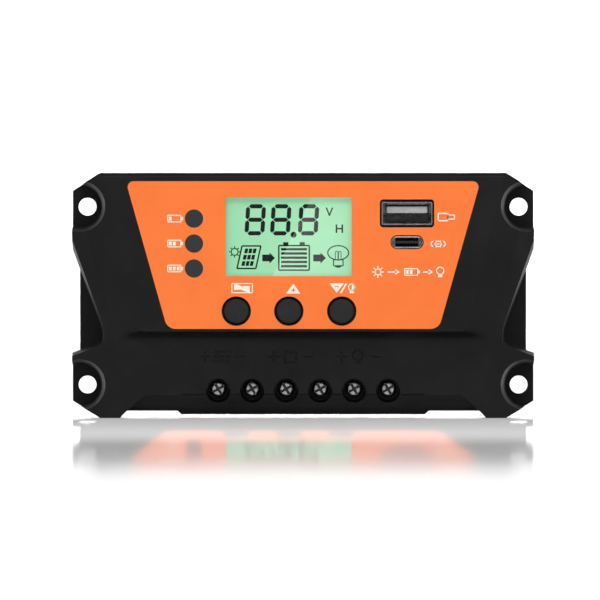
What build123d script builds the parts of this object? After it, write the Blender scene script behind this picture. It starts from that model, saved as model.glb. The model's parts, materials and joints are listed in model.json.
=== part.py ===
"""Wall-mounted solar charge controller, modelled as separate parts in millimetres.

It stands upright as in use: X runs across the front, Z is up, and the face looks along -Y.
Z is 0 at the feet, X is 0 on the centre line, and Y is 0 half way through the depth.
"""

import os

from build123d import *

# Overall size and outline of the casing
DEPTH = 35.0
FRONT_Y = -DEPTH / 2
BACK_Y = DEPTH / 2
HALF_W = 66.75
TOP_Z = 70.8
CORNER_X, CORNER_TOP_Z, CORNER_LOW_Z = 58.6, 65.8, 4.9
FOOT_INNER_X = 53.0
UNDER_X, UNDER_Z = 51.0, 2.1
SILL_X, SILL_Z = 35.2, 1.07
LEDGE_X = 64.6
LEDGE_LOW_Z, LEDGE_HIGH_Z = 19.1, 44.9
LEDGE_Y = 8.0
SCOOP_DRAFT = 0.9

# Raised hood that carries the controls
PANEL_Y = -16.7
FACE_Y = -11.5
PANEL_TOP_X, PANEL_LOW_X = 58.2, 46.9
PANEL_LOW_Z = 25.0
HOOD_TOP_X, HOOD_LOW_X = 66.7, 54.9
HOOD_LOW_Z = 22.0
PANEL_CORNER_R, HOOD_CORNER_R = 2.2, 4.6
EDGE_BEVEL = 1.0
CREASE_R = 0.35
HOOD_COVE = [(-11.85, 22.6), (-12.4, 23.25), (-13.2, 23.85), (-14.4, 24.4)]

# Bevel under the terminal face
BEVEL_TOP_Z, BEVEL_LOW_Z = 6.75, 3.1
BEVEL_TOP_X, BEVEL_LOW_X = 45.6, 49.8
BEVEL_Y = -8.9
UNDERCUT_Y = -4.5
SEAM_X, SEAM_W, SEAM_DEPTH = 35.0, 0.6, 0.9

# Corner ears
EAR_X, EAR_TOP_Z, EAR_LOW_Z = 62.5, 61.15, 9.6
EAR_HOLE_R = 2.6
EAR_FLOOR_Y = 14.5
POCKET_X = 64.4
POCKET_FRONT_R, POCKET_FLOOR_R = 7.3, 5.9

# Hollow inside the casing
WALL = 2.2
ROOM_X, ROOM_LOW_Z, ROOM_TOP_Z = 54.8, 4.5, 68.4
ROOM_Y = FACE_Y + WALL
ROOM_BEVEL_Y, ROOM_BEVEL_Z = 3.0, 3.5
HOOD_ROOM_Y = PANEL_Y + WALL
HOOD_ROOM_LOW_X, HOOD_ROOM_LOW_Z = 45.0, 25.7

# Back plate and the screws that hold the casing shut
PLATE_Y = 15.5
PLATE_X, PLATE_LOW_Z, PLATE_TOP_Z = 56.2, 3.3, 69.6
PLATE_GAP = 0.2
PLATE_CORNER_R = 3.0
CASE_SCREWS = [(x, z) for x in (-50.6, 50.6) for z in (9.2, 64.3)]
CASE_BOSS_R = 3.4
CASE_SHANK_R, CASE_HEAD_R = 1.4, 2.9
CASE_SCREW_TIP_Y = 5.0
FIT_GAP = 0.05

# Printed face label and the openings through it
LABEL_TOP_X, LABEL_LOW_X = 51.2, 39.2
LABEL_TOP_Z, LABEL_LOW_Z = 68.4, 25.75
LABEL_TOP_R, LABEL_LOW_R = 1.7, 3.2
LABEL_RECESS = 0.3
LABEL_T = 0.25

# Display
WINDOW_X, WINDOW_Z = -4.12, 52.38
WINDOW_W, WINDOW_H = 36.35, 22.75
WINDOW_FLANGE = 1.3
GLASS_W, GLASS_H, GLASS_T = 39.6, 26.4, 2.0
GLASS_Y = -13.3
BACKLIGHT_T = 3.4
FRAME_WALL = 1.0
FRAME_BACK_Y = -6.6
PIN_ROW_GAP = 1.2
PIN_COUNT = 14
PIN_PITCH = 2.54

# Push buttons
BUTTON_XS = (-19.3, -4.12, 11.15)
BUTTON_Z = 30.9
BUTTON_HOLE_R, BUTTON_R = 4.2, 3.47
BUTTON_FLANGE_R = 4.8
BUTTON_STEM_R = 1.6
BUTTON_DOME = 0.45
PLUNGER_R, PLUNGER_HOLE_R = 1.5, 1.85
PLUNGER_FRONT_Y = -7.4
SWITCH_SIDE, SWITCH_T = 6.0, 3.6

# Indicators
LENS_X = -31.5
LENS_ZS = (57.6, 50.4, 43.2)
LENS_R, LENS_PIPE_R, LENS_FLANGE_R = 2.6, 1.5, 3.1
LED_T = 1.4

# Charging sockets
USB_X, USB_A_Z, USB_C_Z = 30.0, 59.1, 50.8
USB_A_CUT_W, USB_A_CUT_H, USB_A_CUT_R = 15.7, 8.1, 1.0
USB_A_FLARE_W, USB_A_FLARE_H = 14.65, 6.6
USB_A_W, USB_A_H = 13.1, 5.72
USB_A_WALL = 0.3
USB_C_CUT_W, USB_C_CUT_H = 9.6, 4.07
USB_C_W, USB_C_H = 8.95, 3.42
USB_C_THROAT_W, USB_C_THROAT_H = 8.34, 2.56
USB_C_LIP, USB_C_LIP_DEPTH = 0.08, 0.3
USB_C_BACK_T = 0.42
USB_C_TONGUE_W, USB_C_TONGUE_T, USB_C_TONGUE_DEPTH = 6.7, 0.7, 1.2
USB_C_BASE_H, USB_C_BASE_T = 2.4, 4.0
USB_MOUTH_Y = -16.6
USB_A_TONGUE_W, USB_A_TONGUE_T = 11.8, 1.9
USB_A_TONGUE_Z = USB_A_Z + 1.05
USB_A_TONGUE_Y = USB_MOUTH_Y + 2.3
USB_A_CONTACT_W, USB_A_CONTACT_T, USB_A_CONTACT_PITCH = 1.25, 1.0, 2.38
USB_A_BASE_T = 2.0

# Circuit boards
FRONT_BOARD_Y, FRONT_BOARD_T = -2.6, 1.2
FRONT_BOARD_LOW_X, FRONT_BOARD_HIGH_X = -37.0, 39.5
FRONT_BOARD_LOW_Z, FRONT_BOARD_TOP_Z = 26.0, 67.9
FRONT_POSTS = [(-34.0, 65.2), (20.4, 65.4), (-34.0, 30.0), (35.6, 30.0)]
FRONT_POST_R = 2.2
MAIN_BOARD_Y, MAIN_BOARD_T = 11.0, 1.6
MAIN_BOARD_X = 46.0
MAIN_BOARD_LOW_Z, MAIN_BOARD_TOP_Z = 5.2, 67.8
MAIN_POSTS = [(x, z) for x in (-42.6, 42.6) for z in (9.2, 64.2)]
MAIN_POST_R = 2.8
BOARD_SHANK_R, BOARD_HEAD_R, BOARD_HEAD_T = 1.0, 2.2, 1.6
BOARD_SCREW_LENGTH = 8.0
HEADER_X, HEADER_Z, HEADER_COUNT = -4.1, 64.6, 10
HEADER_HALF_Z, HEADER_PIN_HALF = 1.25, 0.32
HEADER_FRONT_T, HEADER_BACK_T = 2.5, 8.5

# Terminal block, its screws and rising clamps
TERMINAL_PITCH = 9.82
TERMINAL_XS = [(i - 2.5) * TERMINAL_PITCH for i in range(6)]
ACCESS_R, ACCESS_Z = 3.53, 7.9
SCREW_Z = 8.4
BLOCK_X = 29.7
BLOCK_FRONT_Y, BLOCK_BEVEL_Y = -9.1, -5.8
BLOCK_LOW_Z, BLOCK_BEVEL_Z, BLOCK_TOP_Z = 4.8, 8.6, 17.0
WELL_R = 3.0
SHELF_Y, SHELF_BACK_Y = -2.6, -1.4
SHELF_HOLE_R = 1.85
SCREW_HEAD_R, SCREW_HEAD_T, SCREW_R = 2.25, 2.1, 1.5
SCREW_TIP_Y = 3.3
SCREW_TURN = 30.0
CLAMP_X, CLAMP_WALL, CLAMP_HALF_Z = 3.65, 0.75, 2.9
CLAMP_TOP_Y, CLAMP_TOP_T = 2.0, 1.3
CLAMP_FLOOR_Y, CLAMP_FLOOR_T = 9.0, 0.9
CLAMP_GAP = 0.3
CHAMBER_TOP_Z = 11.7
CHAMBER_BACK_Y = 10.2
BAR_X, BAR_Y, BAR_T = 2.45, 3.7, 0.9
BAR_TOP_Z = 14.4
BAR_LEG_X = 1.2
BAR_GAP = 0.1
ENTRY_X, ENTRY_FRONT_Y, ENTRY_BACK_Y = 3.4, 4.2, 9.4

# Parts on the boards
CAN_X, CAN_Z, CAN_R, CAN_LENGTH = 35.6, 19.5, 4.0, 17.0
CHOKE_X, CHOKE_Z, CHOKE_RING_R, CHOKE_R = -22.0, 36.0, 5.6, 2.6
CHOKE_BASE_T = 0.6
FUSE_Z, FUSE_W, FUSE_H, FUSE_T = 24.5, 19.0, 4.6, 9.0
BUZZER_X, BUZZER_Z, BUZZER_R, BUZZER_T = 27.0, 36.0, 6.0, 8.5
BUZZER_HOLE_R = 1.0
CHIP_X, CHIP_Z, CHIP_SIDE, CHIP_T = 4.0, 46.0, 10.0, 1.6
CHIP_LEG_COUNT, CHIP_LEG_PITCH = 8, 1.1
CHIP_LEG_L, CHIP_LEG_W, CHIP_LEG_T = 1.2, 0.4, 0.5
SHUNT_X, SHUNT_W, SHUNT_H, SHUNT_T = 18.0, 6.3, 3.2, 0.8
POWER_COUNT, POWER_PITCH, POWER_Z = 6, 13.0, 32.0
POWER_W, POWER_H, POWER_T = 6.6, 6.2, 2.3
POWER_LEG_X, POWER_LEG_W, POWER_LEG_L, POWER_LEG_T = 2.28, 0.8, 2.4, 0.6
PAD_W, PAD_H = 76.0, 9.0
CONVERTER_Z, CONVERTER_W, CONVERTER_H, CONVERTER_T = 44.0, 5.0, 4.0, 1.5
COIL_Z, COIL_SIDE, COIL_T, COIL_RECESS_R = 55.0, 7.0, 3.2, 2.2

# Low-relief signs above the terminals
SIGN_Z, SIGN_DEPTH, SIGN_LINE = 17.7, 0.6, 0.55
SIGN_ARM = 1.6
PLUS_XS = (-28.3, -8.5, 11.1)
MINUS_XS = (-18.2, 1.5, 21.1)
PANEL_SIGN_X, BATTERY_SIGN_X, LAMP_SIGN_X = -23.4, -3.6, 15.8


def slab(sketch, y_front, y_back):
    """Extrude a sketch drawn in X and Z between two depths."""
    plane = Plane(origin=(0, y_back, 0), x_dir=(1, 0, 0), z_dir=(0, -1, 0))
    return extrude(plane * sketch, y_back - y_front)


def block(x_low, x_high, y_low, y_high, z_low, z_high):
    """Plain box between two corners."""
    corner = Pos(x_low, y_low, z_low)
    size = (x_high - x_low, y_high - y_low, z_high - z_low)
    return corner * Box(*size, align=(Align.MIN, Align.MIN, Align.MIN))


def rod(x, z, y_front, y_back, radius):
    """Round bar along Y."""
    return slab(Pos(x, z) * Circle(radius), y_front, y_back)


def cone(x, z, y_front, y_back, front_radius, back_radius):
    """Round tapered bar along Y."""
    plane = Plane(origin=(x, y_back, z), x_dir=(1, 0, 0), z_dir=(0, -1, 0))
    align = (Align.CENTER, Align.CENTER, Align.MIN)
    return plane * Cone(back_radius, front_radius, y_back - y_front, align=align)


def outline(points):
    """Closed straight-sided sketch through points in X and Z."""
    return make_face(Polyline(*points, close=True))


def mirrored(half):
    """Closed outline from the points of its right half, listed from top to bottom."""
    return outline(half + [(-x, z) for x, z in reversed(half)])


def box_sketch(x, z, width, height, radius=0.0):
    """Rectangle centred at x and z, with optional round corners."""
    if radius:
        return Pos(x, z) * RectangleRounded(width, height, radius)
    return Pos(x, z) * Rectangle(width, height)


def round_end_sketch(width, height):
    """Round-ended slot centred on the small socket."""
    return box_sketch(USB_X, USB_C_Z, width, height, height / 2 - 0.01)


def group(solids):
    """Several separate solids kept together as one node."""
    return Compound(children=list(solids))


# ---------------------------------------------------------------- casing


def rear_outline():
    return mirrored([
        (CORNER_X, TOP_Z),
        (HALF_W, CORNER_TOP_Z),
        (HALF_W, 50.1),
        (LEDGE_X, LEDGE_HIGH_Z),
        (LEDGE_X, LEDGE_LOW_Z),
        (HALF_W, 18.4),
        (HALF_W, CORNER_LOW_Z),
        (CORNER_X, 0),
        (FOOT_INNER_X, 0),
        (UNDER_X, UNDER_Z),
        (SILL_X + 1.1, UNDER_Z),
        (SILL_X, SILL_Z),
    ])


def front_outline():
    return mirrored([
        (CORNER_X, TOP_Z),
        (HALF_W, CORNER_TOP_Z),
        (HALF_W, CORNER_LOW_Z),
        (CORNER_X, 0),
        (FOOT_INNER_X, 0),
        (UNDER_X, UNDER_Z),
        (SILL_X + 1.1, UNDER_Z),
        (SILL_X, SILL_Z),
    ])


def side_recess(side):
    """Concave scoop between the ears on one side, open to the front, with drafted walls."""
    edge = outline([
        (74.0, 71.8),
        (57.6, 26.0),
        (57.45, 21.4),
        (74.0, 15.2),
    ])
    edge = fillet(edge.vertices().sort_by(Axis.X)[1], 11.0)
    edge = fillet(edge.vertices().sort_by(Axis.X)[0], 2.8)
    if side < 0:
        edge = mirror(edge, Plane.YZ)
    floor_edge = offset(edge, amount=-SCOOP_DRAFT)
    sections = []
    for face, y in ((edge, FACE_Y - 8), (edge, FACE_Y), (floor_edge, LEDGE_Y)):
        plane = Plane(origin=(0, y, 0), x_dir=(1, 0, 0), z_dir=(0, -1, 0))
        sections.append((plane * face).face())
    return loft(sections, ruled=True)


def hood_section(y, low_z):
    """Outline of the hood at one depth, with its lower edge at low_z."""
    share = (y - FACE_Y) / (PANEL_Y - FACE_Y)
    top_x = HOOD_TOP_X + share * (PANEL_TOP_X - HOOD_TOP_X)
    slope_x = HOOD_LOW_X + share * (PANEL_LOW_X - HOOD_LOW_X)
    slope_z = HOOD_LOW_Z + share * (PANEL_LOW_Z - HOOD_LOW_Z)
    low_x = slope_x + (low_z - slope_z) * (top_x - slope_x) / (TOP_Z - slope_z)
    face = mirrored([(top_x, TOP_Z), (low_x, low_z)])
    low = face.vertices().sort_by(Axis.Y)[:2]
    face = fillet(low, HOOD_CORNER_R + share * (PANEL_CORNER_R - HOOD_CORNER_R))
    plane = Plane(origin=(0, y, 0), x_dir=(1, 0, 0), z_dir=(0, -1, 0))
    return (plane * face).face()


def hood():
    """Raised panel with long side slopes and a hollow curve along its foot."""
    steps = [(FACE_Y, HOOD_LOW_Z), *HOOD_COVE, (PANEL_Y, PANEL_LOW_Z)]
    shape = loft([hood_section(y, z) for y, z in steps], ruled=True)
    return shape & slab(front_outline(), PANEL_Y - 1, BACK_Y)


def terminal_bevel():
    """Sloped cut along the lower front edge, with a steeper undercut below it."""
    sill = mirrored([
        (BEVEL_TOP_X, BEVEL_TOP_Z),
        (BEVEL_LOW_X, BEVEL_LOW_Z),
        (BEVEL_LOW_X + 1, UNDER_Z),
        (BEVEL_LOW_X + 1, -1),
    ])
    profile = Polyline(
        (FACE_Y - 1, BEVEL_TOP_Z + 0.5),
        (FACE_Y - 1, -1),
        (UNDERCUT_Y, -1),
        (UNDERCUT_Y, SILL_Z),
        (BEVEL_Y, BEVEL_LOW_Z),
        (FACE_Y, BEVEL_TOP_Z),
        close=True,
    )
    wedge = extrude(Plane.YZ * make_face(profile), HALF_W, both=True)
    return slab(sill, FACE_Y - 2, UNDERCUT_Y) & wedge


def sill_seam():
    """Narrow groove along the top of the bevel, between and beside the terminal holes."""
    return slab(box_sketch(0, BEVEL_TOP_Z, 2 * SEAM_X, SEAM_W), FACE_Y - 1, FACE_Y + SEAM_DEPTH)


def room():
    """Hollow inside the casing, open at the back."""
    profile = Polyline(
        (BACK_Y + 1, ROOM_LOW_Z),
        (ROOM_Y + ROOM_BEVEL_Y, ROOM_LOW_Z),
        (ROOM_Y, ROOM_LOW_Z + ROOM_BEVEL_Z),
        (ROOM_Y, ROOM_TOP_Z),
        (BACK_Y + 1, ROOM_TOP_Z),
        close=True,
    )
    main = extrude(Plane.YZ * make_face(profile), ROOM_X, both=True)
    hood_face = mirrored([(ROOM_X, ROOM_TOP_Z), (HOOD_ROOM_LOW_X, HOOD_ROOM_LOW_Z)])
    rebate = slab(
        box_sketch(
            0,
            (PLATE_LOW_Z + PLATE_TOP_Z) / 2,
            2 * (PLATE_X + PLATE_GAP),
            PLATE_TOP_Z - PLATE_LOW_Z + 2 * PLATE_GAP,
            PLATE_CORNER_R + PLATE_GAP,
        ),
        PLATE_Y,
        BACK_Y + 1,
    )
    return main + slab(hood_face, HOOD_ROOM_Y, ROOM_Y + 1) + rebate


def posts():
    """Screw posts moulded inside the casing, each rooted in the wall in front of it."""

    def post(x, z, y_back, radius):
        wall_y = HOOD_ROOM_Y if z > HOOD_ROOM_LOW_Z else ROOM_Y
        return rod(x, z, wall_y - 0.5, y_back, radius)

    case = [post(x, z, PLATE_Y, CASE_BOSS_R) for x, z in CASE_SCREWS]
    main = [post(x, z, MAIN_BOARD_Y, MAIN_POST_R) for x, z in MAIN_POSTS]
    front = [post(x, z, FRONT_BOARD_Y, FRONT_POST_R) for x, z in FRONT_POSTS]
    return case + main + front


def post_holes():
    """Pilot holes in the screw posts."""
    case = [
        rod(x, z, CASE_SCREW_TIP_Y - 1, PLATE_Y + 1, CASE_SHANK_R + FIT_GAP)
        for x, z in CASE_SCREWS
    ]
    board = [
        rod(x, z, y - BOARD_SCREW_LENGTH, y + 1, BOARD_SHANK_R + FIT_GAP)
        for row, y in ((MAIN_POSTS, MAIN_BOARD_Y), (FRONT_POSTS, FRONT_BOARD_Y))
        for x, z in row
    ]
    return case + board


def label_outline(grow=0.0):
    face = mirrored([
        (LABEL_TOP_X + grow, LABEL_TOP_Z + grow),
        (LABEL_LOW_X + grow, LABEL_LOW_Z - grow),
    ])
    face = fillet(face.vertices().sort_by(Axis.Y)[:2], LABEL_LOW_R)
    return fillet(face.vertices().sort_by(Axis.Y)[-2:], LABEL_TOP_R)


def control_openings():
    """Holes through the panel for the display, indicators, buttons and sockets."""
    cuts = [slab(box_sketch(WINDOW_X, WINDOW_Z, WINDOW_W, WINDOW_H), FRONT_Y, HOOD_ROOM_Y + 1)]
    cuts += [rod(LENS_X, z, FRONT_Y, HOOD_ROOM_Y + 1, LENS_R + FIT_GAP) for z in LENS_ZS]
    cuts += [rod(x, BUTTON_Z, FRONT_Y - 1, HOOD_ROOM_Y + 1, BUTTON_HOLE_R) for x in BUTTON_XS]
    usb_a = box_sketch(USB_X, USB_A_Z, USB_A_CUT_W - 0.1, USB_A_CUT_H - 0.1, USB_A_CUT_R)
    cuts.append(slab(usb_a, FRONT_Y, HOOD_ROOM_Y + 1))
    usb_c = round_end_sketch(USB_C_CUT_W, USB_C_CUT_H)
    cuts.append(slab(usb_c, FRONT_Y, HOOD_ROOM_Y + 1))
    return cuts


def plus_sketch(x):
    bar = Rectangle(2 * SIGN_ARM, SIGN_LINE)
    return Pos(x, SIGN_Z) * (bar + Rot(0, 0, 90) * bar)


def minus_sketch(x):
    return box_sketch(x, SIGN_Z, 2 * SIGN_ARM, SIGN_LINE)


def panel_sign():
    """Leaning solar panel with three by three cells."""
    cell_w, cell_h, step_x, step_z, lean = 1.35, 1.05, 1.75, 1.4, 0.22
    cells = []
    for row in (-1, 0, 1):
        for column in (-1, 0, 1):
            x = PANEL_SIGN_X + column * step_x + row * step_z * lean
            cells.append(box_sketch(x, SIGN_Z + row * step_z, cell_w, cell_h))
    return Sketch(children=cells)


def battery_sign():
    """Battery outline with two posts."""
    shell = box_sketch(BATTERY_SIGN_X, SIGN_Z - 0.3, 3.8, 3.4)
    shell -= box_sketch(BATTERY_SIGN_X, SIGN_Z - 0.3, 3.8 - 2 * SIGN_LINE, 3.4 - 2 * SIGN_LINE)
    for side in (-1, 1):
        shell += box_sketch(BATTERY_SIGN_X + side * 1.1, SIGN_Z + 1.65, 0.9, 0.55)
    return shell


def lamp_sign():
    """Lamp bulb outline with its cap."""
    bulb = Pos(LAMP_SIGN_X, SIGN_Z + 0.4) * (Circle(1.7) - Circle(1.7 - SIGN_LINE))
    return bulb + box_sketch(LAMP_SIGN_X, SIGN_Z - 1.85, 1.6, 0.9)


def signs():
    """Low-relief marks that name each terminal pair."""
    sketches = [plus_sketch(x) for x in PLUS_XS]
    sketches += [minus_sketch(x) for x in MINUS_XS]
    sketches += [panel_sign(), battery_sign(), lamp_sign()]
    return [slab(sketch, FACE_Y - 1, FACE_Y + SIGN_DEPTH) for sketch in sketches]


def round_hood_edges(body):
    """Ease the creases round the front of the hood."""
    creases = [
        edge for edge in body.edges()
        if edge.bounding_box().max.Y < PANEL_Y + 0.01 and edge.center().Z < TOP_Z - 0.1
    ]
    return fillet(creases, CREASE_R)


def front_cover():
    body = slab(rear_outline(), LEDGE_Y, BACK_Y) + slab(front_outline(), FACE_Y, LEDGE_Y)
    body += hood()
    rim = [
        edge for edge in body.edges()
        if edge.bounding_box().min.Z > TOP_Z - 0.01 and edge.bounding_box().max.Y < LEDGE_Y - 0.1
    ]
    body = chamfer(rim, EDGE_BEVEL)
    body = round_hood_edges(body)
    for side in (-1, 1):
        body -= side_recess(side)
        for z in (EAR_TOP_Z, EAR_LOW_Z):
            body -= cone(
                side * POCKET_X, z, FACE_Y, EAR_FLOOR_Y, POCKET_FRONT_R, POCKET_FLOOR_R
            )
            body -= rod(side * POCKET_X, z, PANEL_Y - 1, FACE_Y, POCKET_FRONT_R)
            body -= rod(side * EAR_X, z, EAR_FLOOR_Y - 1, BACK_Y + 1, EAR_HOLE_R)
    body -= terminal_bevel()
    body -= sill_seam()
    body -= room()
    for post in posts():
        body += post
    for hole in post_holes():
        body -= hole
    body -= slab(label_outline(0.1), FRONT_Y, PANEL_Y + LABEL_RECESS)
    for cut in control_openings():
        body -= cut
    for x in TERMINAL_XS:
        body -= rod(x, ACCESS_Z, FACE_Y - 1, ROOM_Y + ROOM_BEVEL_Y + 1, ACCESS_R)
        body -= block(x - ENTRY_X, x + ENTRY_X, ENTRY_FRONT_Y, ENTRY_BACK_Y, -1, ROOM_LOW_Z + 1)
    for sign in signs():
        body -= sign
    return body


def back_plate():
    width, height = 2 * PLATE_X, PLATE_TOP_Z - PLATE_LOW_Z
    face = box_sketch(0, (PLATE_LOW_Z + PLATE_TOP_Z) / 2, width, height, PLATE_CORNER_R)
    plate = slab(face, PLATE_Y, BACK_Y)
    for x, z in CASE_SCREWS:
        plate -= rod(x, z, PLATE_Y - 1, BACK_Y + 1, CASE_SHANK_R + 0.3)
        plate -= cone(x, z, BACK_Y - 1.5, BACK_Y + 0.01, CASE_SHANK_R + 0.2, CASE_HEAD_R + 0.2)
    return plate


def case_screws():
    screws = []
    for x, z in CASE_SCREWS:
        head = cone(x, z, BACK_Y - 1.6, BACK_Y - 0.1, CASE_SHANK_R, CASE_HEAD_R)
        screw = head + rod(x, z, CASE_SCREW_TIP_Y, BACK_Y - 1.5, CASE_SHANK_R)
        screws.append(screw - cross_recess(x, z, BACK_Y - 1.1, BACK_Y, 0.6, 3.4, 45.0))
    return group(screws)


def cross_recess(x, z, y_front, y_back, width, length, turn):
    """Cross-shaped cutter for a screw head."""
    bar = Rectangle(length, width)
    cross = Pos(x, z) * Rot(0, 0, turn) * (bar + Rot(0, 0, 90) * bar)
    return slab(cross, y_front, y_back)


# ---------------------------------------------------------------- label and display


def face_label():
    face = label_outline()
    face -= box_sketch(WINDOW_X, WINDOW_Z, WINDOW_W, WINDOW_H)
    face -= box_sketch(USB_X, USB_A_Z, USB_A_CUT_W, USB_A_CUT_H, USB_A_CUT_R)
    face -= round_end_sketch(USB_C_CUT_W, USB_C_CUT_H)
    for z in LENS_ZS:
        face -= Pos(LENS_X, z) * Circle(LENS_R + FIT_GAP)
    for x in BUTTON_XS:
        face -= Pos(x, BUTTON_Z) * Circle(BUTTON_HOLE_R + FIT_GAP)
    floor_y = PANEL_Y + LABEL_RECESS
    return slab(face, floor_y - LABEL_T, floor_y)


def display_window():
    inset = 0.2
    pane = box_sketch(WINDOW_X, WINDOW_Z, WINDOW_W - inset, WINDOW_H - inset)
    flange_w, flange_h = WINDOW_W + 2 * WINDOW_FLANGE, WINDOW_H + 2 * WINDOW_FLANGE
    flange = box_sketch(WINDOW_X, WINDOW_Z, flange_w, flange_h)
    flange_y = HOOD_ROOM_Y
    return slab(pane, PANEL_Y + 0.15, flange_y) + slab(flange, flange_y, flange_y + 1.0)


def lcd_glass():
    return slab(box_sketch(WINDOW_X, WINDOW_Z, GLASS_W, GLASS_H), GLASS_Y, GLASS_Y + GLASS_T)


def lcd_backlight():
    y = GLASS_Y + GLASS_T
    return slab(box_sketch(WINDOW_X, WINDOW_Z, GLASS_W, GLASS_H), y, y + BACKLIGHT_T)


def lcd_frame():
    """Tray round the glass and backlight, with room for the pin row below the glass."""
    inner_w = GLASS_W + 0.1
    inner_low = WINDOW_Z - GLASS_H / 2 - PIN_ROW_GAP
    inner_top = WINDOW_Z + GLASS_H / 2 + FIT_GAP
    middle, height = (inner_low + inner_top) / 2, inner_top - inner_low
    outer = box_sketch(WINDOW_X, middle, inner_w + 2 * FRAME_WALL, height + 2 * FRAME_WALL, 0.6)
    ring = slab(outer - box_sketch(WINDOW_X, middle, inner_w, height), GLASS_Y, FRAME_BACK_Y)
    legs = []
    for side in (-1, 1):
        for z in (inner_low - FRAME_WALL / 2, inner_top + FRAME_WALL / 2):
            x = WINDOW_X + side * (inner_w / 2 - 1.0)
            leg = box_sketch(x, z, 2.0, FRAME_WALL)
            legs.append(slab(leg, FRAME_BACK_Y - 0.5, FRONT_BOARD_Y))
    for leg in legs:
        ring += leg
    return ring


def lcd_pins():
    z_top = WINDOW_Z - GLASS_H / 2
    start = WINDOW_X - (PIN_COUNT - 1) / 2 * PIN_PITCH
    pins = []
    for i in range(PIN_COUNT):
        x = start + i * PIN_PITCH
        pins.append(
            block(x - 0.25, x + 0.25, GLASS_Y + 0.3, FRONT_BOARD_Y, z_top - 0.5, z_top)
        )
    return group(pins)


# ---------------------------------------------------------------- controls


def button_cap(x):
    """Domed cap with a captive flange and a stem that reaches its switch."""
    cap = rod(x, BUTTON_Z, FRONT_Y, HOOD_ROOM_Y + 0.3, BUTTON_R)
    front = cap.edges().sort_by(Axis.Y)[0]
    cap = fillet(front, BUTTON_DOME)
    cap += rod(x, BUTTON_Z, HOOD_ROOM_Y + 0.25, HOOD_ROOM_Y + 1.25, BUTTON_FLANGE_R)
    return cap + rod(x, BUTTON_Z, HOOD_ROOM_Y + 1, PLUNGER_FRONT_Y, BUTTON_STEM_R)


def switch_plunger(x):
    return rod(x, BUTTON_Z, PLUNGER_FRONT_Y, FRONT_BOARD_Y - 1.2, PLUNGER_R)


def switch_base(x):
    """Square switch housing with an open well for its plunger and four short legs."""
    half = SWITCH_SIDE / 2
    base = block(
        x - half, x + half, FRONT_BOARD_Y - SWITCH_T, FRONT_BOARD_Y, BUTTON_Z - half, BUTTON_Z + half
    )
    base = chamfer(base.edges().filter_by(Axis.Y), 0.5)
    base -= rod(x, BUTTON_Z, FRONT_BOARD_Y - SWITCH_T - 1, FRONT_BOARD_Y - 0.6, PLUNGER_HOLE_R)
    for side_x in (-1, 1):
        for side_z in (-1, 1):
            foot_x, foot_z = x + side_x * 2.25, BUTTON_Z + side_z * (half + 0.3)
            base += block(
                foot_x - 0.35, foot_x + 0.35, FRONT_BOARD_Y - 1.5, FRONT_BOARD_Y,
                foot_z - 0.4, foot_z + 0.4,
            )
    return base


def indicator_lens(z):
    """Smoked front disc with a light pipe that runs back to its lamp."""
    lens = rod(LENS_X, z, PANEL_Y + 0.05, HOOD_ROOM_Y, LENS_R)
    lens += rod(LENS_X, z, HOOD_ROOM_Y, HOOD_ROOM_Y + 0.8, LENS_FLANGE_R)
    return lens + rod(LENS_X, z, HOOD_ROOM_Y + 0.5, FRONT_BOARD_Y - LED_T, LENS_PIPE_R)


def indicator_leds():
    y = FRONT_BOARD_Y
    return group(
        block(LENS_X - 1.4, LENS_X + 1.4, y - LED_T, y, z - 1.0, z + 1.0) for z in LENS_ZS
    )


def usb_a_shell():
    """Pressed metal shell with a mouth that flares out towards the front."""
    flare_y = USB_MOUTH_Y + 1.0

    def section(width, height, y):
        plane = Plane(origin=(0, y, 0), x_dir=(1, 0, 0), z_dir=(0, -1, 0))
        return (plane * box_sketch(USB_X, USB_A_Z, width, height, 0.4)).face()

    def tube(grow):
        mouth = section(USB_A_FLARE_W + grow, USB_A_FLARE_H + grow, USB_MOUTH_Y)
        throat = section(USB_A_W + grow, USB_A_H + grow, flare_y)
        straight = slab(
            box_sketch(USB_X, USB_A_Z, USB_A_W + grow, USB_A_H + grow, 0.4),
            flare_y,
            FRONT_BOARD_Y,
        )
        return loft([throat, mouth], ruled=True) + straight

    shell = tube(0.0) - tube(-2 * USB_A_WALL)
    back_w, back_h = USB_A_W - 2 * USB_A_WALL, USB_A_H - 2 * USB_A_WALL
    return shell + slab(
        box_sketch(USB_X, USB_A_Z, back_w, back_h), FRONT_BOARD_Y - USB_A_WALL, FRONT_BOARD_Y
    )


def usb_a_tongue():
    y_back = FRONT_BOARD_Y - USB_A_WALL
    face = box_sketch(USB_X, USB_A_TONGUE_Z, USB_A_TONGUE_W, USB_A_TONGUE_T)
    base_w, base_h = USB_A_W - 2 * USB_A_WALL - 0.2, USB_A_H - 2 * USB_A_WALL - 0.2
    base = slab(box_sketch(USB_X, USB_A_Z, base_w, base_h), y_back - USB_A_BASE_T, y_back)
    return slab(face, USB_A_TONGUE_Y, y_back) + base


def usb_a_contacts():
    """Four sprung contacts hanging under the tongue."""
    z_top = USB_A_TONGUE_Z - USB_A_TONGUE_T / 2
    y_back = FRONT_BOARD_Y - USB_A_WALL - USB_A_BASE_T
    contacts = []
    for i in range(4):
        x = USB_X + (i - 1.5) * USB_A_CONTACT_PITCH
        face = box_sketch(x, z_top - USB_A_CONTACT_T / 2, USB_A_CONTACT_W, USB_A_CONTACT_T)
        contacts.append(slab(face, USB_A_TONGUE_Y + 0.2, y_back))
    return group(contacts)


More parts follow.
